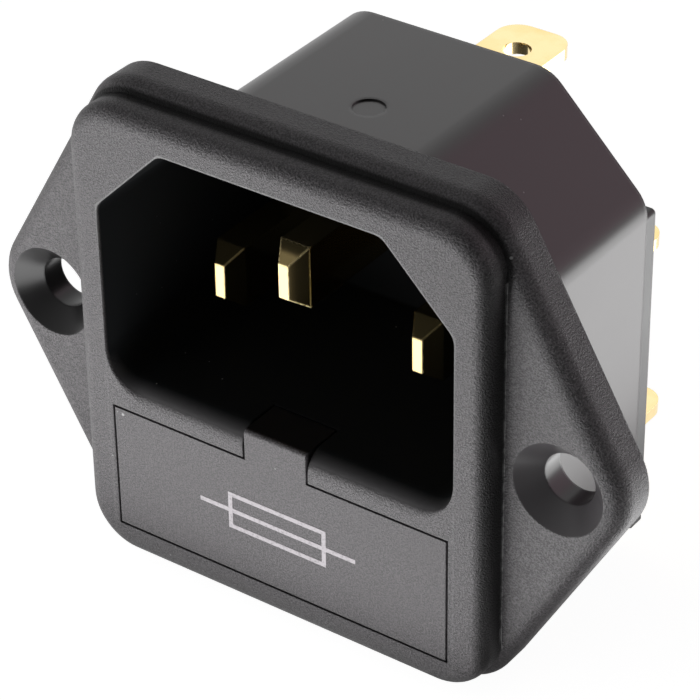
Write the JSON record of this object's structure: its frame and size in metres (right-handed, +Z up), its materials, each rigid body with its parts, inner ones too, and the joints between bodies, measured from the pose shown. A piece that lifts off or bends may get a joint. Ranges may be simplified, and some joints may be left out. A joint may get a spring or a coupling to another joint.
{
  "type": "fused panel inlet socket",
  "caption": "Flanged panel inlet with a cut-corner three-pin recess, a pull-out fuse drawer below it and flat rear tabs.",
  "frame": {"origin": "midway between the two screw holes, on the flange's rear face that seats on the panel", "axes": "+Z up with the earth pin above the other two, +X to the right for someone facing the socket, socket mouth towards -Y, rear tabs towards +Y"},
  "size_m": [0.0442, 0.0283, 0.0326],
  "materials": {
    "black_moulding": "fine moulded grain outside, smooth inside the recess",
    "drawer_moulding": "fine moulded grain",
    "gold_plated_brass": "bright gold plating",
    "spring_bronze": "satin",
    "nickel_cap": "satin nickel",
    "fuse_glass": "clear",
    "fuse_element": "thin tinned wire"
  },
  "bodies": {
    "inlet": {"inlet_housing": "black_moulding", "rear_cover": "black_moulding", "line_pin": "gold_plated_brass", "neutral_pin": "gold_plated_brass", "earth_pin": "gold_plated_brass", "earth_terminal": "gold_plated_brass", "neutral_terminal": "gold_plated_brass", "load_terminal": "gold_plated_brass", "line_link": "gold_plated_brass", "line_fuse_spring": "spring_bronze", "load_fuse_spring": "spring_bronze"},
    "drawer": {"fuse_drawer": "drawer_moulding", "working_fuse_glass": "fuse_glass", "working_fuse_left_cap": "nickel_cap", "working_fuse_right_cap": "nickel_cap", "working_fuse_wire": "fuse_element", "spare_fuse_glass": "fuse_glass", "spare_fuse_left_cap": "nickel_cap", "spare_fuse_right_cap": "nickel_cap", "spare_fuse_wire": "fuse_element"}
  },
  "joints": [
    {"name": "drawer_slide", "type": "slide", "parent": "inlet", "child": "drawer", "axis": [0, -1, 0], "range_m": [0, 0.016]}
  ]
}
